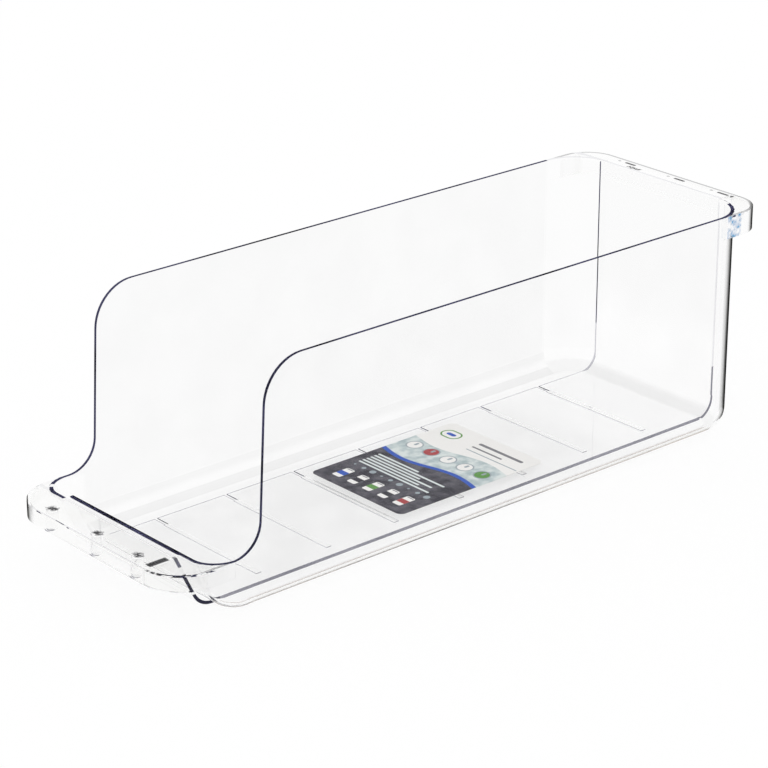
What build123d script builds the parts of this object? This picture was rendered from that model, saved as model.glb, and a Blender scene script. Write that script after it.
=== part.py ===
"""Expandable drink organizer for a refrigerator shelf.

Two clear moulded trays telescope across the width. The left tray is the outer one. The right tray
rides inside it: slots in its floor run on hooked rails that stand on the left tray's floor.
Millimetres, +Z up, front at -Y, origin under the middle of the closed organizer.
"""
import os
from math import cos, radians, tan

from build123d import *

os.makedirs("parts", exist_ok=True)

# Overall sizes, with the trays pushed together
closed_width = 152.0
overall_length = 454.0
height = 144.0
travel = 75.0

# Moulding and fits
wall = 2.0
clearance = 0.35
front_clearance = 2.3
seam = 0.6
overrun = 8.0

# Walls of both trays
left_width_share = 0.82
right_width_share = 0.836
front_height = 36.0
front_lean = 26.0
back_corner = 27.0
front_corner = 17.0
bottom_round = 14.0
scoop_set_back = 58.7
scoop_rise_back = 5.7
scoop_top_round = 26.0
scoop_foot_round = 19.0

# Grip flanges at the front and back rims
front_reach = 19.6
back_reach = 11.0
front_corner_share = 0.97
back_corner_share = 0.78
front_skirt = 10.0
back_skirt = 14.0
peg_diameter = 6.5
peg_round = 1.5
peg_drop = 2.5
front_peg_set_in = 7.5
back_peg_set_in = 6.5
peg_shares = (0.257, 0.595, 0.887)

# Floor rails of the left tray and floor slots of the right tray
rail_count = 7
rail_pitch = 50.7
rail_middle = 8.3
rail_end_set_in = 6.4
stem_width = 1.4
hook_width = 3.0
hook_length = 8.0
hook_thickness = 0.5
lip_thickness = 0.9

# Foot rail under the right tray, as deep as the floor that it stands beside
foot_width = 3.0
foot_length = 330.0

# Printed label on the right tray's floor
label_width = 81.0
label_length = 115.0
label_corner = 4.0
label_thickness = 0.2
label_x = -2.5
label_y = 22.2

# Places worked out from the sizes above
half_width = closed_width / 2
half_length = overall_length / 2
left_width = closed_width * left_width_share
right_width = closed_width * right_width_share
left_cut = -half_width + left_width
right_cut = half_width - right_width
seam_x = left_cut + seam
front_flange_corner = (half_width - seam_x) * front_corner_share
back_flange_corner = (half_width - seam_x) * back_corner_share
lean_slope = tan(radians(front_lean))
front_wall = wall / cos(radians(front_lean))
front_gap = front_clearance / cos(radians(front_lean))
front_rim = -half_length + front_reach
back_face = half_length - back_reach
inner_front_rim = front_rim + front_wall + front_gap
inner_back_face = back_face - wall - clearance
inner_floor = wall + clearance
floor_top = inner_floor + wall
lip_top = inner_floor + lip_thickness
hook_bottom = lip_top + clearance
hook_top = hook_bottom + hook_thickness
rail_right = left_cut - rail_end_set_in
hook_left = rail_right - hook_length
recess_left = hook_left - travel - clearance
slot_right = rail_right + clearance
rail_places = [rail_middle + rail_pitch * (i - (rail_count - 1) / 2) for i in range(rail_count)]


def tub(wall_x, open_x, rim_y, back_y, floor_z, top_z, shrink):
    """Solid block of a tray: leaning front, square back, rounded corners on the wall's side."""
    low_x = min(wall_x, open_x)
    at_left = wall_x < open_x
    front_top = rim_y - (top_z - front_height) * lean_slope
    front_foot = rim_y + (front_height - floor_z) * lean_slope
    with BuildPart() as block:
        with BuildSketch(Plane.YZ.offset(low_x)):
            with BuildLine():
                Polyline(
                    (back_y, floor_z),
                    (back_y, top_z),
                    (front_top, top_z),
                    (front_foot, floor_z),
                    close=True,
                )
            make_face()
        extrude(amount=abs(open_x - wall_x))
        side = 0 if at_left else -1
        back_edge = block.faces().sort_by(Axis.X)[side].edges().sort_by(Axis.Y)[-1]
        fillet(back_edge, back_corner - shrink)
        front_edge = block.faces().sort_by(Axis.X)[side].edges().sort_by(Axis.Y)[0]
        fillet(front_edge, front_corner - shrink)
        floor_edges = block.faces().sort_by(Axis.Z)[0].edges().sort_by(Axis.X)
        fillet(floor_edges[:-1] if at_left else floor_edges[1:], bottom_round - shrink)
    return block.part


def scoop():
    """Block that cuts the side walls down to the low front in an S-shaped line."""
    foot_y = -half_length + scoop_set_back
    far_front = -overall_length
    with BuildPart() as cutter:
        with BuildSketch(Plane.YZ.offset(-overall_length)):
            with BuildLine():
                edge = FilletPolyline(
                    (far_front, front_height),
                    (foot_y, front_height),
                    (foot_y + scoop_rise_back, height),
                    (half_length, height),
                    radius=[scoop_foot_round, scoop_top_round],
                )
                Polyline(
                    edge @ 1,
                    (half_length, height + overall_length),
                    (far_front, height + overall_length),
                    edge @ 0,
                )
            make_face()
        extrude(amount=2 * overall_length)
    return cutter.part


def ledge_outline(wall_x, end_x, edge_y, root_y, level, corner, inset):
    """Plan of a grip ledge, drawn in by an inset, with its round corner at the side wall."""
    to_end = 1 if end_x > wall_x else -1
    to_edge = 1 if edge_y > root_y else -1
    side_x = wall_x + to_end * inset
    lip_y = edge_y - to_edge * inset
    with BuildSketch(Plane.XY.offset(level)) as plan:
        with BuildLine():
            lip = FilletPolyline(
                (end_x, lip_y),
                (side_x, lip_y),
                (side_x, root_y),
                radius=corner - inset,
            )
            Polyline(lip @ 1, (end_x, root_y), lip @ 0)
        make_face()
    return plan.sketch


def ledge(wall_x, end_x, edge_y, root_y, top_z, skirt, corner):
    """Grip ledge with a hanging skirt that runs tangent out of the side wall."""
    foot_z = top_z - skirt
    plan = ledge_outline(wall_x, end_x, edge_y, root_y, foot_z, corner, 0)
    hollow = ledge_outline(wall_x, end_x, edge_y, root_y, foot_z, corner, wall)
    with BuildPart() as body:
        extrude(plan, amount=skirt)
        extrude(hollow, amount=skirt - wall, mode=Mode.SUBTRACT)
    return body.part


def pegs(peg_y, top_z, skirt):
    """Round pegs under the left tray's ledge, with rounded feet a little below the skirt."""
    foot_z = top_z - skirt - peg_drop
    with BuildPart() as posts:
        with BuildSketch(Plane.XY.offset(foot_z)):
            with Locations([(-half_width + share * left_width, peg_y) for share in peg_shares]):
                Circle(peg_diameter / 2)
        extrude(amount=top_z - wall / 2 - foot_z)
        fillet(posts.edges().group_by(Axis.Z)[0], peg_round)
    return posts.part


def strip(low_x, high_x, width, low_z, high_z):
    """Bars across the floor, one at each rail's place."""
    middle_x = (low_x + high_x) / 2
    with BuildPart() as bars:
        for place in rail_places:
            with BuildSketch(Plane.XY.offset(low_z)):
                with Locations((middle_x, place)):
                    Rectangle(high_x - low_x, width)
            extrude(amount=high_z - low_z)
    return bars.part


side_scoop = scoop()

# Left tray: outer shell, grip ledges with pegs, and hooked rails on the floor
left_block = tub(-half_width, left_cut, front_rim, back_face, 0, height, 0)
left_hollow = tub(
    -half_width + wall,
    left_cut + overrun,
    front_rim + front_wall,
    back_face - wall,
    wall,
    height + overrun,
    wall,
)
left_front_root = front_rim + front_corner
left_back_root = back_face - back_corner
left_front_ledge = ledge(
    -half_width, left_cut, -half_length, left_front_root, front_height, front_skirt, front_flange_corner
)
left_back_ledge = ledge(
    -half_width, left_cut, half_length, left_back_root, height, back_skirt, back_flange_corner
)
front_pegs = pegs(-half_length + front_peg_set_in, front_height, front_skirt)
back_pegs = pegs(half_length - back_peg_set_in, height, back_skirt)
rail_stems = strip(recess_left, rail_right, stem_width, wall / 2, hook_top)
rail_hooks = strip(hook_left, rail_right, hook_width, hook_bottom, hook_top)

with BuildPart() as left_tray:
    add(left_block)
    add(side_scoop, mode=Mode.SUBTRACT)
    add([left_front_ledge, left_back_ledge, front_pegs, back_pegs])
    add(left_hollow, mode=Mode.SUBTRACT)
    add([rail_stems, rail_hooks])
left_tray.part.label = "left_tray"
export_step(left_tray.part, "parts/left_tray.step")

# Right tray: inner shell with floor slots, its two ledge corners and the foot rail
right_block = tub(half_width, right_cut, inner_front_rim, inner_back_face, inner_floor, height, 0)
right_hollow = tub(
    half_width - wall,
    right_cut - overrun,
    inner_front_rim + front_wall,
    inner_back_face - wall,
    floor_top,
    height + overrun,
    wall,
)
right_front_root = inner_front_rim + front_corner
right_back_root = inner_back_face - back_corner
right_front_ledge = ledge(
    half_width, seam_x, -half_length, right_front_root, front_height, front_skirt, front_flange_corner
)
right_back_ledge = ledge(
    half_width, seam_x, half_length, right_back_root, height, back_skirt, back_flange_corner
)
stem_slots = strip(
    right_cut - overrun, slot_right, stem_width + 2 * clearance, inner_floor - overrun, floor_top
)
hook_slots = strip(recess_left, slot_right, hook_width + 2 * clearance, lip_top, floor_top + overrun)

with BuildPart() as right_tray:
    add(right_block)
    add(side_scoop, mode=Mode.SUBTRACT)
    add([right_front_ledge, right_back_ledge])
    add(right_hollow, mode=Mode.SUBTRACT)
    with BuildSketch():
        with Locations((half_width - bottom_round - foot_width / 2, rail_middle)):
            Rectangle(foot_width, foot_length)
    extrude(amount=inner_floor)
    add([stem_slots, hook_slots], mode=Mode.SUBTRACT)
right_tray.part.label = "right_tray"
export_step(right_tray.part, "parts/right_tray.step")

# Label: one printed film on the right tray's floor
with BuildPart() as label:
    with BuildSketch(Plane.XY.offset(floor_top)):
        with Locations((label_x, label_y)):
            RectangleRounded(label_width, label_length, label_corner)
    extrude(amount=label_thickness)
label.part.label = "label"
export_step(label.part, "parts/label.step")
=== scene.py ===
# %% [markdown]
# # A clear drink organizer
# The real object is two clear mouldings that slide into each other, and one printed label on the floor.
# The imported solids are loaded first, as a fixed frame in metres. Everything below is built around them.

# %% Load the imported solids
import math

import bmesh
import bpy
import numpy as np
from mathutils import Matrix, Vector


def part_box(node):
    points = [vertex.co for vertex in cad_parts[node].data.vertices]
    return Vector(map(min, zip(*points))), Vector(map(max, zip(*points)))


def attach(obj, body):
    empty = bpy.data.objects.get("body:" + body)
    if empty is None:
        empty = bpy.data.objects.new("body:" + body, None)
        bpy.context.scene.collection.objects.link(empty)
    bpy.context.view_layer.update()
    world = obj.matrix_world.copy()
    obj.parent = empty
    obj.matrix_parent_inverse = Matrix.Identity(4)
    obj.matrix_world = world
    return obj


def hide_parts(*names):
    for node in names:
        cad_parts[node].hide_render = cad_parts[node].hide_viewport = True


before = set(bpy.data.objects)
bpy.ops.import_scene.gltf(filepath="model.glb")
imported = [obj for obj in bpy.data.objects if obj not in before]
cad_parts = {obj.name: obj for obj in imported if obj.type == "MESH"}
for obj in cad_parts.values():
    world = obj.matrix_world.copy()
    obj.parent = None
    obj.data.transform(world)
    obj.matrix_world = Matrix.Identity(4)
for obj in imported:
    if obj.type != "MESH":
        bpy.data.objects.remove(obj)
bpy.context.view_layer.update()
mm = 0.001
scene = bpy.context.scene

# %% [markdown]
# ## The two clear trays
# Light bends where it enters clear plastic and again where it leaves, so a tray has to be one closed skin.
# A wall made of several pieces pushed into each other would show every hidden face inside it.
# The solid has exactly that one skin. Its loose triangles are merged, the triangles of each flat face are
# joined, and normals are weighted by area, so flat faces stay flat and rounds run smoothly.
# A mould leaves no knife edges: the outer edge of each grip ledge, which hands touch, is rolled over.
# Where one face needs two finishes it is split by a plane. Splitting leaves points and faces in a new order
# each time, so they are sorted by place at the end, and every run gives the same mesh.

# %% Sizes, in millimetres
def corners(node_name):
    """Lowest and highest corner of a CAD node, in mm."""
    return [np.round(np.array(corner) / mm, 3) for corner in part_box(node_name)]


(left_side, front_end, _), (left_cut, back_end, height) = corners("left_tray")
(right_cut, _, _), (right_side, _, _) = corners("right_tray")
wall, clearance, front_clearance, seam = 2.0, 0.35, 2.3, 0.6
front_height, front_reach, back_reach = 36.0, 19.6, 11.0
front_bend, back_bend, bottom_round = 17.0, 27.0, 14.0
front_skirt, back_skirt, ledge_edge_round = 10.0, 14.0, 1.3
rail_end_set_in, hook_length, travel = 6.4, 8.0, 75.0
rail_middle, rail_pitch = 8.3, 50.7
peg_shares, peg_radius = (0.257, 0.595, 0.887), 3.25
front_peg_set_in, back_peg_set_in = 7.5, 6.5
lean = math.radians(26)
front_rim = front_end + front_reach
back_face = back_end - back_reach
right_front_rim = front_rim + (wall + front_clearance) / math.cos(lean)
right_back_face = back_face - wall - clearance
seam_x = left_cut + seam
floor_top = 2 * wall + clearance
slot_right = left_cut - rail_end_set_in + clearance
recess_left = slot_right - hook_length - travel - 2 * clearance
front_peg_y, back_peg_y = front_end + front_peg_set_in, back_end - back_peg_set_in
peg_x = [left_side + share * (left_cut - left_side) for share in peg_shares]
far = 2 * (back_end - front_end)
print("closed organizer:", right_side - left_side, "x", back_end - front_end, "x", height, "mm")


# %% Rims that lie in a ledge's flat top
def rim_bend(side, end, radii, turn):
    """Bend that touches a side and an end of a tub: its middle, radii, and first and last angle."""
    inward = -np.sign([side, end])
    return np.array([side, end]) + inward * radii, radii, turn


front_oval = np.array([front_bend, front_bend / math.cos(lean)])
back_oval = np.array([back_bend, back_bend])
left_front_bend = rim_bend(left_side, front_rim, front_oval, (180, 270))
right_front_bend = rim_bend(right_side, right_front_rim, front_oval, (270, 360))
left_back_bend = rim_bend(left_side, back_face, back_oval, (90, 180))
right_back_bend = rim_bend(right_side, right_back_face, back_oval, (0, 90))
print("rim bends:", front_oval.round(2).tolist(), "mm in front,", back_oval.tolist(), "mm behind")


def bend_planes(middle, radii, turn, steps=9):
    """Upright planes that touch an oval from start to end of a turn: at middle + radii (cos a, sin a)."""
    angle = np.radians(np.linspace(*turn, steps))
    spoke = np.stack([np.cos(angle), np.sin(angle)], -1)
    return [(*point, 0.0, *side, 0.0) for point, side in zip(middle + radii * spoke, spoke / radii)]


def spoke_planes(middle, angles):
    """Upright planes through a bend's middle, at angles in degrees."""
    return [(*middle, 0.0, -math.sin(angle), math.cos(angle), 0.0) for angle in np.radians(angles)]


def straight_planes(axis, *positions):
    """Planes across one axis, each as a point and a normal."""
    side = [float(axis == name) for name in "xyz"]
    return [(*(position * part for part in side), *side) for position in positions]


# %% One closed skin from a node's loose triangles
merge_distance, split_distance = 0.002 * mm, 0.0005 * mm
flat_angle, sharp_angle = math.radians(0.3), math.radians(32)
level_least, upright_most, flat_least = 0.99, 0.1, 0.999
rim_slack, roll_steps = 1.0, 3


def closed_skin(node_name, piece_name, body, cuts, top_cuts):
    """Copy of a node's skin: points merged, flat faces joined, ledge edges rolled, faces split by planes.

    Planes of top_cuts split only the faces that look straight up outside the tub's floor.
    """
    work = bmesh.new()
    work.from_mesh(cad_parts[node_name].data)
    bmesh.ops.remove_doubles(work, verts=work.verts, dist=merge_distance)
    bmesh.ops.dissolve_limit(
        work, angle_limit=flat_angle, verts=work.verts, edges=work.edges, use_dissolve_boundaries=False
    )
    work.normal_update()
    rolled = [edge for edge in work.edges if is_ledge_edge(edge)]
    bmesh.ops.bevel(
        work, geom=rolled, offset=ledge_edge_round * mm, offset_type="OFFSET", segments=roll_steps,
        profile=0.5, affect="EDGES", clamp_overlap=True,
    )
    for plane in cuts:
        split(work, plane, work.faces)
    work.normal_update()
    for plane in top_cuts:
        split(work, plane, [face for face in work.faces if is_ledge_top(face)])
    open_edges = sum(1 for edge in work.edges if len(edge.link_faces) != 2)
    mesh = ordered_mesh(work, piece_name)
    work.free()
    mesh.shade_smooth()
    mesh.set_sharp_from_angle(angle=sharp_angle)
    piece = bpy.data.objects.new(piece_name, mesh)
    scene.collection.objects.link(piece)
    weight = piece.modifiers.new("even_normals", "WEIGHTED_NORMAL")
    weight.keep_sharp = True
    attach(piece, body)
    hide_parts(node_name)
    print(piece_name, len(mesh.polygons), "faces,", len(rolled), "edges rolled,", open_edges, "open edges")
    return piece


def split(work, plane, faces):
    """Split faces where a plane, given as point and normal in mm, crosses them."""
    faces = list(faces)
    edges = {edge for face in faces for edge in face.edges}
    points = {point for face in faces for point in face.verts}
    bmesh.ops.bisect_plane(
        work, geom=[*points, *edges, *faces], dist=split_distance,
        plane_co=Vector(plane[:3]) * mm, plane_no=Vector(plane[3:]).normalized(),
    )


def ordered_mesh(work, name):
    """Mesh of the skin so far, with its points and faces sorted by place."""
    points = sorted(work.verts, key=lambda point: tuple(point.co))
    number = {point: index for index, point in enumerate(points)}
    loops = [[number[point] for point in face.verts] for face in work.faces]
    starts = [loop.index(min(loop)) for loop in loops]
    loops = sorted(loop[start:] + loop[:start] for loop, start in zip(loops, starts))
    mesh = bpy.data.meshes.new(name)
    mesh.from_pydata([tuple(point.co) for point in points], [], loops)
    return mesh


def is_ledge_top(face):
    """True for flat faces at the height of a rim."""
    return face.normal.z > level_least and face.calc_center_median().z > (front_height - rim_slack) * mm


def is_ledge_edge(edge):
    """True on the line where a ledge's flat top meets its hanging skirt, outside the tub."""
    if len(edge.link_faces) != 2:
        return False
    rises = sorted(face.normal.z for face in edge.link_faces)
    middle = (edge.verts[0].co + edge.verts[1].co) / (2 * mm)
    outside = middle.y < front_rim - rim_slack or middle.y > back_face + rim_slack
    end_cut = max(abs(face.normal.x) for face in edge.link_faces) > flat_least
    return rises[1] > level_least and abs(rises[0]) < upright_most and outside and not end_cut


# %% Both skins, split where one face needs two finishes
rim_line, floor_line, back_line, below_ledge = 1.1, 0.55, 1.05, 0.1
blue_from_back, gap_turn = (35.0, 23.0), (225.0, 237.0)
wall_end = back_face - back_bend - wall / 2
floor_start = front_rim + front_height * math.tan(lean) + bottom_round
rim_foot = front_height - rim_line
floor_line_foot = floor_top - floor_line
back_line_end = right_back_face - back_line
ledge_under = front_height - wall - below_ledge
back_skirt_foot = height - back_skirt
blue_start, blue_end = [back_end - distance for distance in blue_from_back]
gap_angle = math.radians(sum(gap_turn) / 2)
gap_spoke = np.array([math.cos(gap_angle), math.sin(gap_angle)])
gap_x, gap_y = left_front_bend[0] + (front_oval - wall / 2) * gap_spoke
left_skin = closed_skin(
    "left_tray", "left_tray_skin", "left",
    straight_planes("y", wall_end, floor_start) + straight_planes("z", ledge_under),
    bend_planes(*left_front_bend) + bend_planes(*left_back_bend)
    + spoke_planes(left_front_bend[0], gap_turn)
    + straight_planes("x", left_front_bend[0][0], left_back_bend[0][0], right_cut),
)
right_skin = closed_skin(
    "right_tray", "right_tray_skin", "right",
    straight_planes("y", floor_start, wall_end, blue_start, blue_end, back_line_end)
    + straight_planes("z", floor_line_foot, rim_foot, back_skirt_foot),
    bend_planes(*right_front_bend) + bend_planes(*right_back_bend)
    + straight_planes("x", right_front_bend[0][0]),
)

# %% [markdown]
# ## Node helpers
# Finishes are node trees. One helper makes a node and fills its sockets, one makes a group with named
# sockets, one lays a colour over another, and one makes a material with a Principled shader, so each finish
# below reads as a short list.

# %% Helpers for node trees
def add(tree, kind, inputs=None, **settings):
    """New node: settings are its own properties, inputs are constants or sockets to link from."""
    made = tree.nodes.new(kind)
    for name, value in settings.items():
        setattr(made, name, value)
    for key, value in (inputs or {}).items():
        if isinstance(value, bpy.types.NodeSocket):
            tree.links.new(value, made.inputs[key])
        else:
            made.inputs[key].default_value = value
    return made


def calc(tree, operation, *values):
    """Output of a Math node over constants or sockets."""
    return add(tree, "ShaderNodeMath", dict(enumerate(values)), operation=operation).outputs[0]


def vector(tree, operation, *values):
    """Vector output of a Vector Math node over constants or sockets."""
    return add(tree, "ShaderNodeVectorMath", dict(enumerate(values)), operation=operation).outputs["Vector"]


def over(tree, colour, mask, top_colour):
    """Colour with another laid over it where the mask is one."""
    inputs = {0: mask, 6: colour, 7: top_colour}
    return add(tree, "ShaderNodeMix", inputs, data_type="RGBA").outputs[2]


def new_group(name, inputs, outputs):
    """Empty shader group with named sockets: inputs as (name, kind, default), outputs as (name, kind)."""
    tree = bpy.data.node_groups.new(name, "ShaderNodeTree")
    for socket_name, kind, default in inputs:
        socket = tree.interface.new_socket(socket_name, in_out="INPUT", socket_type=kind)
        socket.default_value = default
    for socket_name, kind in outputs:
        tree.interface.new_socket(socket_name, in_out="OUTPUT", socket_type=kind)
    return tree, tree.nodes.new("NodeGroupInput").outputs, tree.nodes.new("NodeGroupOutput").inputs


def use(tree, group, **inputs):
    """Instance of a group, with its sockets filled by name."""
    return add(tree, "ShaderNodeGroup", inputs, node_tree=group).outputs


def new_material(name):
    """Node material with a Principled shader on its output, and the object's own place in millimetres."""
    material = bpy.data.materials.new(name)
    material.use_nodes = True
    tree = material.node_tree
    tree.nodes.clear()
    shader = tree.nodes.new("ShaderNodeBsdfPrincipled")
    add(tree, "ShaderNodeOutputMaterial", {"Surface": shader.outputs["BSDF"]})
    own_place = tree.nodes.new("ShaderNodeTexCoord").outputs["Object"]
    place = add(
        tree, "ShaderNodeVectorMath", {0: own_place, "Scale": 1 / mm}, operation="SCALE", name="place"
    )
    return material, tree, shader, place.outputs["Vector"]


# %% [markdown]
# ## Shared effects
# Two effects serve the plastic and the print alike, so each is a group. A block mask marks a block with
# round corners, which places both a painted shade spot in a grip ledge and a shape of the print. A ripple
# gives the slight unevenness that moulding leaves in a wall, and that ink and glue leave in a film.

# %% Block mask
block_mask, given, result = new_group(
    "block_mask",
    [("Place", "NodeSocketVector", (0, 0, 0)), ("Centre", "NodeSocketVector", (0, 0, 0)),
     ("Half", "NodeSocketVector", (1, 1, 1)), ("Corner", "NodeSocketFloat", 0.0),
     ("Soft", "NodeSocketFloat", 0.05)],
    [("Mask", "NodeSocketFloat")],
)
# Distance to a rounded block: |max(|place - centre| - (half - corner), 0)| - corner
offset = vector(block_mask, "ABSOLUTE", vector(block_mask, "SUBTRACT", given["Place"], given["Centre"]))
corner = add(block_mask, "ShaderNodeCombineXYZ", {axis: given["Corner"] for axis in "XYZ"}).outputs[0]
beyond = vector(block_mask, "SUBTRACT", offset, vector(block_mask, "SUBTRACT", given["Half"], corner))
outside = vector(block_mask, "MAXIMUM", beyond, (0, 0, 0))
length = add(block_mask, "ShaderNodeVectorMath", {0: outside}, operation="LENGTH").outputs["Value"]
distance = calc(block_mask, "SUBTRACT", length, given["Corner"])
edge = add(
    block_mask, "ShaderNodeMapRange",
    {"Value": distance, "From Min": 0.0, "From Max": given["Soft"], "To Min": 1.0, "To Max": 0.0},
    interpolation_type="SMOOTHSTEP",
)
block_mask.links.new(edge.outputs[0], result["Mask"])
print("block_mask:", len(block_mask.nodes), "nodes")

# %% Ripple
ripple, given, result = new_group(
    "ripple",
    [("Place", "NodeSocketVector", (0, 0, 0)), ("Scale", "NodeSocketFloat", 0.05),
     ("Height", "NodeSocketFloat", 0.00001), ("Amount", "NodeSocketFloat", 0.3)],
    [("Normal", "NodeSocketVector"), ("Value", "NodeSocketFloat"), ("Patches", "NodeSocketFloat")],
)
patch_low, patch_high = 0.36, 0.64
waves = add(ripple, "ShaderNodeTexNoise", {"Vector": given["Place"], "Scale": given["Scale"], "Detail": 2.0})
bump = add(
    ripple, "ShaderNodeBump",
    {"Height": waves.outputs[0], "Distance": given["Height"], "Strength": given["Amount"]},
)
patches = add(
    ripple, "ShaderNodeMapRange",
    {"Value": waves.outputs[0], "From Min": patch_low, "From Max": patch_high},
)
ripple.links.new(bump.outputs["Normal"], result["Normal"])
ripple.links.new(patches.outputs[0], result["Patches"])
ripple.links.new(waves.outputs[0], result["Value"])
print("ripple:", len(ripple.nodes), "nodes")

# %% [markdown]
# ## Clear plastic
# A clear wall seen flat on is almost nothing: two faint reflections and a trace of grey. Its edges are what
# shows. A free edge shows light that has run inside the wall for its whole height, so it is nearly black,
# with a little blue. A round corner shows the dark sides of the studio, painted here as a dark reflection.
# Tracing that light needs hundreds of bounces, so those faces get plastics of their own with painted shade:
# they hardly bend light, and near black, grey and pale tints paint what the traced light would show.
# Lamps shine straight through all of it, because a moulding this clear throws hardly any shadow.

# %% Plastics
wall_scale, block_scale = 0.03, 0.3
wall_ripple, wall_ripple_amount, lamp_share = 0.02 * mm, 0.12, 0.93
bend_ledge, bend_wall, bend_thin = 1.22, 1.08, 1.003


def plastic(name, tint, other_tint, bend, scale=wall_scale):
    """Clear plastic whose tint drifts between two colours, and which lets lamps through."""
    material, tree, shader, place = new_material(name)
    uneven = use(tree, ripple, Place=place, Scale=scale, Height=wall_ripple, Amount=wall_ripple_amount)
    tree.links.new(over(tree, tint, uneven["Patches"], other_tint), shader.inputs["Base Color"])
    tree.links.new(uneven["Normal"], shader.inputs["Normal"])
    shader.inputs["Roughness"].default_value = 0.0
    shader.inputs["IOR"].default_value = bend
    shader.inputs["Transmission Weight"].default_value = 1.0
    ray = tree.nodes.new("ShaderNodeLightPath").outputs
    lamp = calc(tree, "MAXIMUM", ray["Is Shadow Ray"], ray["Is Diffuse Ray"])
    through = add(tree, "ShaderNodeBsdfTransparent", {"Color": grey(lamp_share)})
    blend = add(
        tree, "ShaderNodeMixShader",
        {0: lamp, 1: shader.outputs["BSDF"], 2: through.outputs["BSDF"]},
    )
    tree.links.new(blend.outputs[0], tree.nodes["Material Output"].inputs["Surface"])
    return material


def grey(level, blue=1.0):
    """Tint that lets a level of light through, with more or less of the blue."""
    return (level, level, level * blue, 1)


# Painted light and shade: one plastic, tinted per part, darker on the left tray and floor, lighter at the
# back.
ledge_tints = (grey(0.962, 0.99), grey(0.984))
round_tints = (grey(0.960), grey(0.980))
painted_shade_tints = (grey(0.0002, 3), grey(0.004, 4))
painted_blue_tints = ((0.03, 0.18, 0.44, 1), grey(1.0))
left_plastic = plastic("left_plastic_finish", grey(0.945), grey(0.962), bend_wall)
right_plastic = plastic("right_plastic_finish", grey(0.978), grey(0.992), bend_wall)
floor_plastic = plastic("floor_plastic_finish", grey(0.952), grey(0.972), bend_wall)
thin_plastic = plastic("thin_plastic_finish", grey(0.974), grey(0.988), bend_thin)
back_plastic = plastic("back_plastic_finish", grey(0.992), grey(1.0), bend_thin)
ledge_plastic = plastic("ledge_plastic_finish", *ledge_tints, bend_ledge)
ledge_top = plastic("ledge_top_finish", *ledge_tints, bend_ledge)
clear_plastic = plastic("clear_plastic_finish", grey(0.994), grey(1.0), bend_thin)
peg_plastic = plastic("peg_plastic_finish", grey(0.970), grey(0.990), bend_wall)
# Painted blue light: a bluish tint on one patch of the clear right wall.
painted_blue_light = plastic("blue_plastic_finish", *painted_blue_tints, bend_wall, block_scale)
# Painted shade: near black, grey and pale tints on edges stand in for light run along inside the walls.
painted_black = plastic("dark_edge_finish", *painted_shade_tints, bend_thin)
painted_cut = plastic("front_edge_finish", *painted_shade_tints, bend_thin)
painted_grey = plastic("grey_edge_finish", grey(0.06, 1.4), grey(0.11, 1.3), bend_thin)
painted_pale = plastic("pale_edge_finish", grey(0.22, 1.15), grey(0.36, 1.15), bend_thin)
painted_dim = plastic("faint_edge_finish", grey(0.62, 1.04), grey(0.76, 1.04), bend_thin)
painted_trace = plastic("trace_edge_finish", grey(0.76, 1.02), grey(0.86, 1.02), bend_thin)
painted_corner = plastic("round_corner_finish", *round_tints, bend_thin)
painted_fillet = plastic("round_bottom_finish", *round_tints, bend_wall)
painted_left_fillet = plastic("left_round_finish", grey(0.998), grey(1.0), bend_wall)
painted_back_fillet = plastic("back_round_finish", grey(0.996), grey(1.0), bend_thin)
print("plastics:", sum(1 for material in bpy.data.materials if material.name.endswith("_finish")))

# %% [markdown]
# ## Painted light and shade on rounds and walls
# A round goes dark where the eye grazes it, painted here as a tint that grows as the face turns away. The
# upper half of a bottom round gathers light from the white ground, and its lower half doesn't, so a painted
# bright band runs along the far rounds, with painted shade beside it. The back wall and the rear of the
# floor mirror each other, which makes both of them brighter, and that light is painted as a lighter tint.
# The cut edge of the low front wall is painted black, with two painted light gaps where the ledge above it
# and the bottom round send other light into it.

# %% Painted light and shade: tints that change with the view or along an axis
def shade_over(material, value, span, tint):
    """Lay a painted light or shade tint over a plastic's own as a value runs from start to end of a span."""
    tree = material.node_tree
    mask = add(
        tree, "ShaderNodeMapRange", {"Value": value, "From Min": span[0], "From Max": span[1]},
        interpolation_type="SMOOTHSTEP",
    ).outputs[0]
    tinted = tree.nodes["Principled BSDF"].inputs["Base Color"]
    tree.links.new(over(tree, tinted.links[0].from_socket, mask, tint), tinted)


def turned_away(material):
    """How far a surface turns from the eye: 0 seen flat on, 1 seen edge on."""
    return add(material.node_tree, "ShaderNodeLayerWeight", {"Blend": 0.5}).outputs["Facing"]


def along(material, axis):
    """Place along one axis of the object, in millimetres."""
    place = material.node_tree.nodes["place"].outputs["Vector"]
    return add(material.node_tree, "ShaderNodeSeparateXYZ", {0: place}).outputs[axis]


# Painted dark reflection for round corners and painted brown shade for bottom rounds, both seen edge on.
painted_dark_reflection, painted_brown_shade = grey(0.006, 0.8), (0.20, 0.14, 0.08, 1)
edge_gaps, gap_soft, gap_tint, edge_tint = ((27.4, 22.6), (11.0, 9.5)), 0.6, grey(0.9), grey(0.001, 3)
rear_floor, wall_above_white = (105.0, 150.0), (40.0, 75.0)
above_band, below_band, below_back_band = (6.2, 11.0), (5.3, 4.6), (7.6, 6.8)
corner_turn, bottom_turn = (0.50, 0.80), (0.62, 0.90)
# Painted shade: the front cut edge is black, with two bands of painted light for the gaps.
for gap_top, gap_foot in edge_gaps:
    shade_over(painted_cut, along(painted_cut, "Z"), (gap_top, gap_top - gap_soft), gap_tint)
    shade_over(painted_cut, along(painted_cut, "Z"), (gap_foot, gap_foot - gap_soft), edge_tint)
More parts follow.
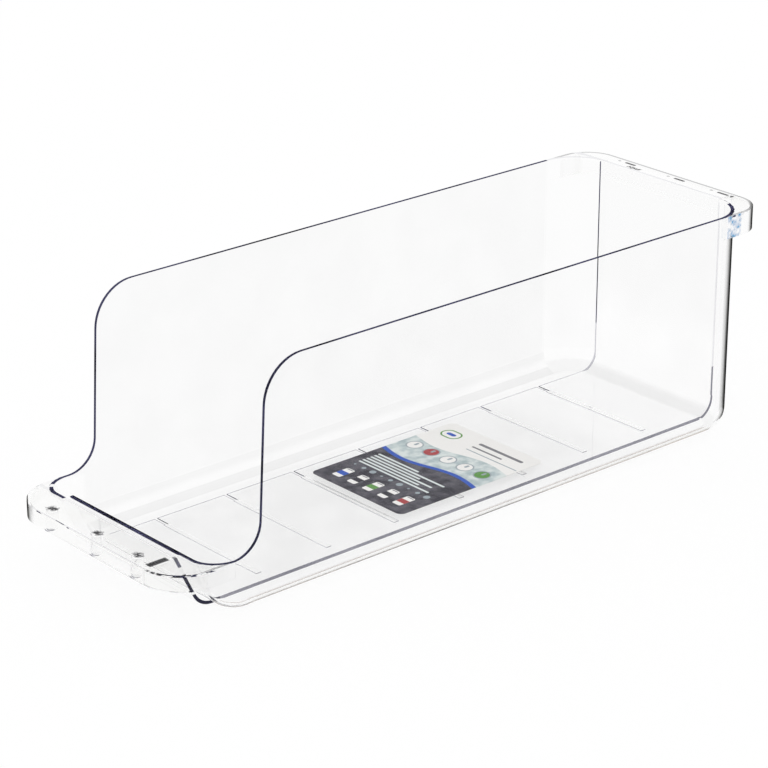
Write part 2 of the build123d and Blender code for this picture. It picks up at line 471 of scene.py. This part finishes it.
# Painted light: the rear of the floor and the lower back wall, which mirror each other, are lighter.
shade_over(floor_plastic, along(floor_plastic, "Y"), rear_floor, grey(0.993))
shade_over(back_plastic, along(back_plastic, "Z"), wall_above_white, grey(0.982))
# Painted bright band along the far bottom round, with painted shade above and below it.
shade_over(painted_left_fillet, along(painted_left_fillet, "Z"), above_band, grey(0.89))
shade_over(painted_left_fillet, along(painted_left_fillet, "Z"), below_band, grey(0.84))
# Painted shade on the back bottom round below its bright band.
shade_over(painted_back_fillet, along(painted_back_fillet, "Z"), below_back_band, grey(0.945))
# Painted dark reflection where the eye grazes a round corner.
shade_over(painted_corner, turned_away(painted_corner), corner_turn, painted_dark_reflection)
# Painted brown shade where the eye grazes a bottom round.
shade_over(painted_fillet, turned_away(painted_fillet), bottom_turn, painted_brown_shade)
print("left_round_finish:", len(painted_left_fillet.node_tree.nodes), "nodes")

# %% [markdown]
# ## Painted shade in the grip ledges
# Round pegs stand under the left tray's ledges. Seen through the thick ledge each is a small dark spot, and
# the joint between the two trays is a dark bar. The far edge of the back ledge is a grey line. All of these
# are shade from light that was turned away inside the plastic, painted as tints in the ledge's top.

# %% Places of the painted shade spots: centre, half size and corner, in millimetres
ring_half, ring_corner = (1.1 * peg_radius, 0.8 * peg_radius), 0.7 * peg_radius
core_half, core_corner, core_shift = (0.7 * peg_radius, 0.35 * peg_radius), 1.0, 0.1 * peg_radius
dash_half, dash_corner, dash_shift = (4.2, 0.8), 0.7, 2.9 * peg_radius
dot_half, dot_corner = (0.9, 0.6), 0.5
long_half, short_half, far_corner, far_shift = (5.0, 0.9), (1.6, 0.8), 0.6, 5.0 * peg_radius
bar_half, bar_corner, bar_set_in, bar_shift = (1.95, 6.3), 0.2, 10.1, 0.4
outline_width, back_corner_share = 0.9, 0.78
dash_y = back_end - 2.4 * wall
inner_y = dash_y - 2.3 * wall
peg_rings = [((x, front_peg_y), ring_half, ring_corner) for x in peg_x]
peg_cores = [((x + core_shift, front_peg_y), core_half, core_corner) for x in peg_x]
edge_dashes = [((x + dash_shift, dash_y), dash_half, dash_corner) for x in peg_x]
edge_dots = [((x, dash_y), dot_half, dot_corner) for x in peg_x]
far_shade_spots = [
    ((peg_x[0] + far_shift, inner_y), long_half, far_corner),
    ((peg_x[2] + far_shift, dash_y), short_half, far_corner),
]
seam_bar = ((seam_x - bar_shift, front_end + bar_set_in), bar_half, bar_corner)
outline_inset = ledge_edge_round + outline_width
outline_half = np.array([right_side, back_end]) - outline_inset
outline_corner = back_corner_share * (right_side - seam_x) - outline_inset
print("pegs at x:", np.round(peg_x, 1).tolist(), "mm, joint at", round(seam_x, 2), "mm")

# %% Painted shade laid into the ledge's top
spot_scale, spot_drift, spot_soft, outline_soft = 0.6, (4.0, 7.0, 0), 0.6, 0.4


def paint_ledge_shade(material, uneven_spots, plain_spots, rim_tint):
    """Painted shade in block-shaped spots, some with uneven borders, and along the rim of the back ledge."""
    tree = material.node_tree
    place = tree.nodes["place"].outputs["Vector"]
    drift = calc(tree, "SUBTRACT", use(tree, ripple, Place=place, Scale=spot_scale)["Value"], 0.5)
    shift = add(tree, "ShaderNodeVectorMath", {0: spot_drift, "Scale": drift}, operation="SCALE")
    moved = vector(tree, "ADD", place, shift.outputs["Vector"])
    base = tree.nodes["Principled BSDF"].inputs["Base Color"]
    inside = use(
        tree, block_mask, Place=place, Centre=(0, -back_end, 0),
        Half=(outline_half[0], back_end + outline_half[1], far), Corner=outline_corner, Soft=outline_soft,
    )["Mask"]
    colour = over(tree, rim_tint, inside, base.links[0].from_socket)
    for spots, where in ((uneven_spots, moved), (plain_spots, place)):
        for (centre, half, corner), tint in spots:
            mask = use(
                tree, block_mask, Place=where, Centre=(*centre, 0), Half=(*half, far), Corner=corner,
                Soft=spot_soft,
            )["Mask"]
            colour = over(tree, colour, mask, tint)
    tree.links.new(colour, base)
    print(material.name, "has", len(uneven_spots) + len(plain_spots), "marks")


# Painted shade: half dark for rings, dots and the back rim line, near black for the other spots.
half_dark, dark = grey(0.30, 1.02), grey(0.002, 1.2)
paint_ledge_shade(
    ledge_top,
    [(spot, half_dark) for spot in peg_rings] + [(spot, dark) for spot in [*peg_cores, *far_shade_spots]],
    [(spot, half_dark) for spot in edge_dots] + [(spot, dark) for spot in [*edge_dashes, seam_bar]],
    half_dark,
)

# %% [markdown]
# ## Which face gets which plastic
# Faces are picked by the place of their middle and the way they face, never by number, so the picks hold
# when the solids are meshed anew. Each tray has one common plastic. Then free edges, rims, rounds, ledges
# and pegs get their own, most with painted shade and some with painted light. A floor slot shows as a
# painted thin line along its front lip, a painted dark dash at its left end and a short painted hook at
# its right end. The rest of its walls, and the rails in it, are left clear.

# %% Picking faces
everywhere, near, bend_slack = (-far, far), 0.2, 1.01
sideways_least, slope_least, rolled_least, rolled_most = 0.5, 0.3, 0.2, 0.985
across, ahead, upward = np.eye(3)
above_front = {"z": (front_height + near, far)}
at_front_ledge = {"z": (front_height - 1.6 * front_skirt, front_height + near)}
at_back_ledge = {"z": (height - 1.4 * back_skirt, height + near)}
at_front_rim = {"z": (front_height - near, front_height + near), "facing": upward}
at_back_rim = {"z": (height - near, height + near), "facing": upward}
at_front_skirt_foot = {"z": (front_height - front_skirt - near, front_height - front_skirt + near)}
in_floor = {"z": (-near, floor_top + near), "least": level_least}


def picker(piece):
    """Function that picks a piece's faces by the place of their middle, in mm, and the way they face."""
    mesh = piece.data
    middles = np.empty(3 * len(mesh.polygons), np.float32)
    normals = np.empty_like(middles)
    mesh.polygons.foreach_get("center", middles)
    mesh.polygons.foreach_get("normal", normals)
    middles, normals = middles.reshape(-1, 3) / mm, normals.reshape(-1, 3)

    def pick(x=everywhere, y=everywhere, z=everywhere, facing=None, least=0.9, bend=None):
        mask = np.ones(len(middles), bool)
        for axis, (low, high) in enumerate((x, y, z)):
            mask &= (middles[:, axis] > low) & (middles[:, axis] < high)
        if bend is not None:
            middle, radii, _ = bend
            reach = np.hypot(*((middles[:, :2] - middle) / radii).T)
            mask &= (reach < bend_slack) & (normals[:, 2] > level_least)
            mask &= middles[:, 2] > front_height - rim_slack
        return mask if facing is None else mask & (normals @ facing > least)

    return pick


def both_ways(pick, facing, **where):
    """Faces that look along a direction or against it."""
    return pick(facing=facing, **where) | pick(facing=-facing, **where)


def plain_faces(pick):
    """Level faces of the floor, faces that look sideways, and flat upright faces."""
    flat_on = both_ways(pick, across, least=flat_least) | both_ways(pick, ahead, least=flat_least)
    return both_ways(pick, upward, **in_floor), both_ways(pick, across, least=sideways_least), flat_on


def rolled_faces(pick, ledges):
    """Rolled-over outer edges of the ledges, between level and upright."""
    return ledges & pick(facing=upward, least=rolled_least) & ~pick(facing=upward, least=rolled_most)


def finish_faces(piece, common, chosen):
    """Give a piece its plastics: a common one, then each picked set of faces its own, later sets on top."""
    mesh = piece.data
    number = np.zeros(len(mesh.polygons), np.int32)
    mesh.materials.append(common)
    for place, (material, mask) in enumerate(chosen, 1):
        mesh.materials.append(material)
        number[mask] = place
    mesh.polygons.foreach_set("material_index", number)
    print(piece.name, "faces per plastic:", np.bincount(number, minlength=len(chosen) + 1).tolist())


# %% Faces of the left tray
pick = picker(left_skin)
level_floor, sideways, flat_on = plain_faces(pick)
cut_band = {"x": (left_cut - near, left_cut + near), "facing": across}
front_bend_x, back_bend_x = left_front_bend[0][0], left_back_bend[0][0]
grip_start = left_side + front_bend + back_reach
peg_reach, peg_top = 1.1 * peg_radius, front_height - 1.1 * wall
foot_least, front_least = 0.75, 0.7
wall_top = pick(x=(left_side - near, left_side + wall + near), y=(-far, wall_end), **above_front) & ~sideways
front_strip = pick(y=(front_rim, front_rim + 1.5 * wall), **at_front_rim)
back_strip = pick(y=(back_face - 1.5 * wall, back_face), **at_back_rim)
ledges = pick(y=(-far, front_rim), **at_front_ledge) | pick(y=(back_face, far), **at_back_ledge)
ledges |= pick(x=(-far, back_bend_x), y=(wall_end, far), z=(back_skirt_foot - near, far))
rolled = rolled_faces(pick, ledges)
back_pegs = pick(
    x=(grip_start, far), y=(back_peg_y - peg_reach, back_peg_y + peg_reach),
    z=(back_skirt_foot - back_skirt, height - wall),
) & ~pick(facing=upward)
front_pegs = pick(
    x=(grip_start, far), y=(front_peg_y - peg_reach, front_peg_y + peg_reach), z=(0, peg_top),
)
peg_feet = front_pegs & pick(facing=(-ahead - upward) / math.sqrt(2), least=foot_least)
bend_gap = pick(x=(gap_x - wall, gap_x + wall), y=(gap_y - wall, gap_y + wall), **at_front_rim)
dark_bend = pick(x=(-far, front_bend_x), bend=left_front_bend) & ~bend_gap
skirts = pick(y=(back_face + near, far), z=(back_skirt_foot - near, height - wall - near))
skirts |= pick(facing=-upward, **at_front_skirt_foot)
front_corner = pick(x=(-far, grip_start), y=(-far, front_rim), **at_front_ledge)
rails = both_ways(pick, ahead, x=(recess_left - near, left_cut), z=(wall, floor_top))
in_round = {"z": (-near, bottom_round + near)}
left_edge = pick(x=(-far, left_side + bottom_round), y=(floor_start - bottom_round, wall_end), **in_round)
left_edge &= ~flat_on & ~level_floor
back_edge = pick(y=(wall_end, far), **in_round) & ~flat_on & ~level_floor
back_corner = pick(x=(-far, back_bend_x), y=(wall_end, far), z=(bottom_round, back_skirt_foot)) & ~flat_on
finish_faces(left_skin, left_plastic, [
    (floor_plastic, level_floor),
    (painted_fillet, left_edge),
    (painted_left_fillet, left_edge & pick(facing=upward, least=0)),
    (painted_back_fillet, back_edge),
    (ledge_plastic, ledges),
    (ledge_top, ledges & (pick(facing=upward, least=level_least) | pick(y=(-far, front_rim), **cut_band))),
    (back_plastic, pick(y=(wall_end, far), z=(bottom_round + wall, back_skirt_foot - near))),
    (thin_plastic, pick(y=(front_rim, floor_start), z=(-near, front_height - wall / 2))),
    (clear_plastic, skirts | back_pegs | rails),
    (painted_trace, front_strip),
    (peg_plastic, front_pegs),
    (painted_black, wall_top | dark_bend | front_strip & pick(x=(front_bend_x, right_cut))),
    (painted_cut, pick(y=(front_rim, floor_start), **cut_band)),
    (painted_grey, pick(y=(floor_start, far), z=(-near, 2 * bottom_round), **cut_band)),
    (painted_pale, rolled & pick(y=(0, far)) | peg_feet),
    (painted_dim, rolled & pick(y=(-far, 0)) | back_strip | pick(x=(-far, back_bend_x), bend=left_back_bend)
        | pick(y=(wall_end, far), z=(2 * bottom_round, far), **cut_band)),
    (painted_corner, front_corner & ~rolled & pick(facing=-ahead, least=front_least)
        | back_corner & pick(facing=ahead - across, least=0)),
])

# %% Faces of the right tray
pick = picker(right_skin)
level_floor, sideways, flat_on = plain_faces(pick)
sloping = both_ways(pick, upward, least=slope_least)
cut_band = {"x": (right_cut - near, right_cut + near), "facing": -across}
front_bend_x, front_bend_y = right_front_bend[0]
back_bend_x = right_back_bend[0][0]
corner_width = right_side - seam_x
crescent_start, crescent_stop = seam_x + 0.38 * corner_width, right_side - 0.1 * corner_width
wall_top = pick(x=(right_side - wall - near, far), y=(-far, wall_end), **above_front) & ~sideways
ledges = pick(y=(-far, right_front_rim), **at_front_ledge)
ledges |= pick(x=(seam_x - near, far), y=(wall_end, far), z=(back_skirt_foot, far))
ledges |= pick(x=(front_bend_x, far), y=(-far, front_bend_y), facing=upward, **at_front_ledge)
rolled = rolled_faces(pick, ledges)
crescent = pick(x=(crescent_start, crescent_stop), y=(-far, 0))
front_strip = pick(
    x=(right_cut, front_bend_x), y=(right_front_rim, right_front_rim + 1.6 * wall),
    z=(rim_foot, front_height + near),
)
dark_bends = pick(x=(front_bend_x, far), y=(-far, 0), bend=right_front_bend)
dark_bends |= pick(x=(back_bend_x, far), y=(wall_end, far), bend=right_back_bend)
back_corner = pick(x=(seam_x, far), y=(wall_end, far), z=(floor_top, back_skirt_foot))
back_corner |= pick(x=(seam_x, far), y=(blue_end, far), z=(back_skirt_foot, height - near))
back_corner &= ~flat_on & ~sloping
# Painted blue light on one patch at the top of the right wall, near the back.
blue_block = pick(x=(right_side - near, far), y=(blue_start, blue_end), z=(back_skirt_foot, height - near))
near_round = pick(x=(right_side - bottom_round - wall, far), y=(floor_start - bottom_round, wall_end))
near_round &= pick(z=(wall, bottom_round + 1.5 * wall)) & ~flat_on & ~level_floor
back_edge = pick(y=(wall_end, far), z=(floor_top - wall - near, floor_top - wall + bottom_round + near))
back_edge &= ~flat_on & ~level_floor
skirts = pick(facing=-upward, **at_front_skirt_foot)
slot_walls = both_ways(pick, ahead, x=(right_cut, slot_right + near), z=(floor_top - wall, floor_top))
slot_lip = {"z": (floor_line_foot, floor_top)}
finish_faces(right_skin, right_plastic, [
    (floor_plastic, level_floor),
    (painted_back_fillet, back_edge),
    (ledge_plastic, ledges),
    (ledge_top, ledges & pick(facing=upward, least=level_least)),
    (back_plastic, pick(x=(right_cut, seam_x), y=(wall_end, far), z=(bottom_round + wall, height - near))),
    (clear_plastic, skirts | slot_walls),
    (painted_blue_light, blue_block),
    (painted_black, wall_top | front_strip | dark_bends | rolled & crescent
        | pick(x=(right_cut, recess_left), facing=-ahead, **slot_lip)
        | pick(y=(wall_end, back_line_end), z=(bottom_round + wall, far), **cut_band)),
    (painted_grey, pick(x=(slot_right - near, slot_right + near), facing=-across, **slot_lip)),
    (painted_pale, rolled & pick(y=(0, far)) | pick(x=(right_cut, left_cut), facing=ahead, **slot_lip)
        | pick(y=(floor_start, back_line_end), z=(floor_line_foot, bottom_round + wall), **cut_band)),
    (painted_dim, rolled & pick(y=(-far, 0)) & ~crescent),
    (painted_corner, back_corner & pick(facing=across + ahead, least=0)),
    (painted_fillet, near_round),
])

# %% [markdown]
# ## The label
# The real label is a printed film stuck on the inner tray's floor. A film is a sheet over two parameters,
# so it is made as a grid: u runs across, v runs along, and the width narrows at both ends for the round
# corners. It sinks slightly where a floor slot runs under it.

# %% Label film as a grid
label_low, label_high = corners("label")
label_middle, label_half = ((label_low + label_high) / 2)[:2], ((label_high - label_low) / 2)[:2]
film_bottom, film_top = label_low[2], label_high[2]
label_corner, slot_half, sag = 4.0, 2.4, 0.09
slot_places = rail_middle + rail_pitch * np.arange(2)


def film_point(u, v, level):
    """Point of the film in mm, for u and v from -1 to 1.

    y = v L, x = u w(v), with w(v) = W - r + sqrt(r^2 - max(|y| - (L - r), 0)^2);
    z = level - sag sum exp(-((y - slot) / slot_half)^2).
    """
    y = v * label_half[1]
    past = np.maximum(np.abs(y) - (label_half[1] - label_corner), 0)
    x = u * (label_half[0] - label_corner + np.sqrt(np.maximum(label_corner**2 - past**2, 0)))
    x, y = x + label_middle[0], y + label_middle[1]
    dip = np.exp(-(((y[..., None] - slot_places) / slot_half) ** 2)).sum(-1)
    return np.stack([x, y, level - sag * dip * (level > film_bottom)], -1) * mm


steps_across, steps_along, corner_steps = 25, 181, 9
corner_share = label_corner / label_half[1]
into_corner = corner_share * (1 - np.cos(np.linspace(0, np.pi / 2, corner_steps)))
straight = np.linspace(-1 + corner_share, 1 - corner_share, steps_along)
v_line = np.unique(np.concatenate([-1 + into_corner, straight, 1 - into_corner]))
u_grid, v_grid = np.meshgrid(np.linspace(-1, 1, steps_across), v_line, indexing="xy")
top = film_point(u_grid, v_grid, film_top).reshape(-1, 3)
bottom = film_point(u_grid, v_grid, film_bottom).reshape(-1, 3)
index = np.arange(u_grid.size).reshape(u_grid.shape)
quads = np.stack([index[:-1, :-1], index[:-1, 1:], index[1:, 1:], index[1:, :-1]], -1).reshape(-1, 4)
rim = np.concatenate([index[0, :-1], index[:-1, -1], index[-1, :0:-1], index[:0:-1, 0]])
rim_next = np.roll(rim, -1)
side = np.stack([rim, rim + index.size, rim_next + index.size, rim_next], -1)[:, ::-1]
film_mesh = bpy.data.meshes.new("floor_label")
film_mesh.from_pydata(
    np.concatenate([top, bottom]).tolist(), [],
    np.concatenate([quads, quads[:, ::-1] + index.size, side]).tolist(),
)
film_mesh.shade_smooth()
film_mesh.set_sharp_from_angle(angle=sharp_angle)
floor_label = bpy.data.objects.new("floor_label", film_mesh)
scene.collection.objects.link(floor_label)
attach(floor_label, "right")
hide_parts("label")
print("label film:", len(film_mesh.vertices), "points")

# %% [markdown]
# ## The print
# The real label carries a maker's words and pictures, which aren't copied. This print is a plain design of
# the same colours and scale: a dark field under a wave, a blue line along it, a pale band of can tops,
# and a light head with a ring. Every shape is a block mask, and the wave is a sine of the place.

# %% Shapes of the print: centre, half size and corner in mm from the label's middle, and colour
ink_dark, ink_dusk = (0.016, 0.014, 0.028, 1), (0.100, 0.096, 0.120, 1)
ink_pale, ink_ice = (0.42, 0.52, 0.54, 1), (0.74, 0.80, 0.79, 1)
ink_white, ink_grey, ink_mist = (0.93, 0.92, 0.90, 1), (0.20, 0.20, 0.22, 1), (0.34, 0.40, 0.44, 1)
ink_blue, ink_red, ink_green = (0.012, 0.085, 0.50, 1), (0.42, 0.045, 0.05, 1), (0.10, 0.30, 0.05, 1)
rim_width, tab_width, tab_length, tab_shift = 0.9, 0.16, 0.34, 0.28
can_half, can_corner = (3.4, 6.4), 1.2
band_half, band_corner, band_drop = (3.4, 2.2), 0.2, 0.6
lid_half, lid_corner, lid_rise = (2.6, 0.35), 0.3, 5.4
can_start, can_pitch, can_row = -27.0, 13.5, -43.0
bubble_start, bubble_pitch, bubble_row, bubble_corner = -32.0, 8.0, -29.5, 2.1
bubble_least, bubble_growth = 1.1, 0.5
line_start, line_row, line_pitch, line_half, line_corner = -34.0, -24.6, 3.1, 0.75, 0.5
top_start, top_pitch, top_row, top_radius = -30.0, 15.0, 16.5, 5.6


def can_top(a, b, radius, rim_ink, lid_ink):
    """Round can top seen from above: rim, lid and a small tab."""
    lid, tab = radius - rim_width, tab_width * radius
    return [
        ((a, b), (radius, radius), radius, rim_ink),
        ((a, b), (lid, lid), lid, lid_ink),
        ((a, b + tab_shift * radius), (tab, tab_length * radius), tab, rim_ink),
    ]


def small_can(a, b, band_ink):
    """Standing can: body with a colour band and a narrow lid."""
    return [
        ((a, b), can_half, can_corner, ink_white),
        ((a, b - band_drop), band_half, band_corner, band_ink),
        ((a, b + lid_rise), lid_half, lid_corner, ink_grey),
    ]


shapes = []
for step, band in enumerate((ink_blue, ink_dark, ink_green, ink_dark, ink_red)):
    shapes += small_can(can_start + can_pitch * step, can_row, band)
for step in range(9):
    bubble = bubble_least + bubble_growth * (step % 3)
    middle = (bubble_start + bubble_pitch * step, bubble_row)
    shapes.append((middle, (bubble, bubble), bubble_corner, ink_mist))
for step, reach in enumerate((31, 25, 29, 22, 31, 18)):
    middle = (line_start + reach, line_row + line_pitch * step)
    shapes.append((middle, (reach, line_half), line_corner, ink_ice))
for step, lid in enumerate((ink_white, ink_red, ink_white, ink_white, ink_green)):
    shapes += can_top(top_start + top_pitch * step, top_row, top_radius, ink_mist, lid)
ring_middle = (-27, 44)
shapes += [
    (ring_middle, (7.5, 5.4), 5.4, ink_green),
    (ring_middle, (6.4, 4.3), 4.3, ink_white),
    (ring_middle, (3.6, 1.5), 1.5, ink_blue),
    ((14, 47), (19, 1.2), 1.2, ink_grey),
    ((8, 41), (13, 0.7), 0.7, ink_grey),
    ((17, 36), (22, 0.4), 0.4, ink_mist),
]
print("print:", len(shapes), "shapes")

# %% Print shader
wave_half, wave_height, wave_soft, shape_soft = 40.0, 3.5, 0.1, 0.15
head_start, blue_stop, dark_stop = 27.0, 2.0, -1.2
mottle_scale, grain_scale, grain_height, grain_amount = 0.15, 4.0, 0.01 * mm, 0.2
grain_dark, grain_light = 0.92, 1.06
label_print, tree, shader, place = new_material("label_print")
spot = vector(tree, "SUBTRACT", place, (*label_middle, film_top))
parts = add(tree, "ShaderNodeSeparateXYZ", {0: spot}).outputs
phase = calc(tree, "MULTIPLY", parts["X"], math.pi / wave_half)
above = calc(tree, "SUBTRACT", parts["Y"], calc(tree, "MULTIPLY", calc(tree, "SINE", phase), wave_height))


def below(limit):
    """One where the place lies in front of the wave moved back by a limit, in mm."""
    span = {"From Min": limit - wave_soft, "From Max": limit + wave_soft, "To Min": 1.0, "To Max": 0.0}
    return add(tree, "ShaderNodeMapRange", {"Value": above, **span}).outputs[0]


mottle = use(tree, ripple, Place=place, Scale=mottle_scale)["Patches"]
colour = over(tree, ink_white, below(head_start), over(tree, ink_pale, mottle, ink_ice))
colour = over(tree, colour, below(blue_stop), ink_blue)
colour = over(tree, colour, below(dark_stop), over(tree, ink_dark, mottle, ink_dusk))
for centre, half, corner, ink in shapes:
    mask = use(
        tree, block_mask, Place=spot, Centre=(*centre, 0), Half=(*half, far), Corner=corner, Soft=shape_soft
    )["Mask"]
    colour = over(tree, colour, mask, ink)
grain = use(tree, ripple, Place=place, Scale=grain_scale, Height=grain_height, Amount=grain_amount)
speckle = add(
    tree, "ShaderNodeMapRange", {"Value": grain["Value"], "To Min": grain_dark, "To Max": grain_light}
).outputs[0]
tone = add(tree, "ShaderNodeVectorMath", {0: colour, "Scale": speckle}, operation="SCALE")
tree.links.new(tone.outputs["Vector"], shader.inputs["Base Color"])
tree.links.new(grain["Normal"], shader.inputs["Normal"])
shader.inputs["Roughness"].default_value = 0.42
shader.inputs["Specular IOR Level"].default_value = 0.25
film_mesh.materials.append(label_print)
print("label print:", len(tree.nodes), "nodes")

# %% [markdown]
# ## Studio
# The photo has a pure white ground, which also shows through the clear walls. The floor is white paint
# that keeps the object's shadow, mixed with its own white wherever it is seen straight, mirrored or through
# the plastic, so the shadow stays faint.

# %% Floor and light
floor_half, floor_drop, white_share = 4.0, 0.4 * mm, 0.86
floor_corners = np.array([[-1, -1], [1, -1], [1, 1], [-1, 1]]) * floor_half
floor_mesh = bpy.data.meshes.new("studio_floor")
floor_mesh.from_pydata([(x, y, -floor_drop) for x, y in floor_corners], [], [(0, 1, 2, 3)])
floor = bpy.data.objects.new("studio_floor", floor_mesh)
scene.collection.objects.link(floor)
floor_paint, tree, shader, _ = new_material("floor_paint")
shader.inputs["Base Color"].default_value = (1, 1, 1, 1)
shader.inputs["Roughness"].default_value = 1.0
shader.inputs["Specular IOR Level"].default_value = 0.0
ray = tree.nodes.new("ShaderNodeLightPath").outputs
indirect = calc(tree, "MAXIMUM", ray["Is Glossy Ray"], ray["Is Transmission Ray"])
seen = calc(tree, "MAXIMUM", ray["Is Camera Ray"], indirect)
white = add(tree, "ShaderNodeEmission")
blend = add(
    tree, "ShaderNodeMixShader",
    {0: calc(tree, "MULTIPLY", seen, white_share), 1: shader.outputs["BSDF"], 2: white.outputs["Emission"]},
)
tree.links.new(blend.outputs[0], tree.nodes["Material Output"].inputs["Surface"])
floor_paint.cycles.emission_sampling = "NONE"
floor_mesh.materials.append(floor_paint)

world = bpy.data.worlds.new("studio_world")
world.use_nodes = True
scene.world = world
world.node_tree.nodes["Background"].inputs["Color"].default_value = (1, 1, 1, 1)
world.node_tree.nodes["Background"].inputs["Strength"].default_value = 1.0
print("studio floor:", 2 * floor_half, "m square,", floor_drop / mm, "mm below the tray")

# %% [markdown]
# ## Camera
# The camera was solved from the photo's straight edges. It looks down a little on the front and the right
# side. Light crosses many clear walls before it leaves, so the bounces are raised.

# %% Camera and bounces
camera_azimuth = math.radians(48.80)
camera_elevation = math.radians(22.217)
camera_distance = 1.66916
camera_aim = Vector((0.0, -0.014374, 0.068665))
back = Vector((
    math.sin(camera_azimuth) * math.cos(camera_elevation),
    -math.cos(camera_azimuth) * math.cos(camera_elevation),
    math.sin(camera_elevation),
))
camera_data = bpy.data.cameras.new("photo_camera")
camera_data.sensor_width = 36.0
camera_data.lens = 134.638
camera = bpy.data.objects.new("photo_camera", camera_data)
scene.collection.objects.link(camera)
camera.location = camera_aim + back * camera_distance
camera.rotation_mode = "QUATERNION"
camera.rotation_quaternion = (-back).to_track_quat("-Z", "Y")
camera_data.clip_end = 50
scene.camera = camera

scene.view_settings.view_transform = "Standard"
scene.cycles.max_bounces = 96
scene.cycles.transmission_bounces = 32
scene.cycles.transparent_max_bounces = 32
scene.cycles.glossy_bounces = 64
print("camera:", camera_distance, "m from its aim, lens", camera_data.lens, "mm")
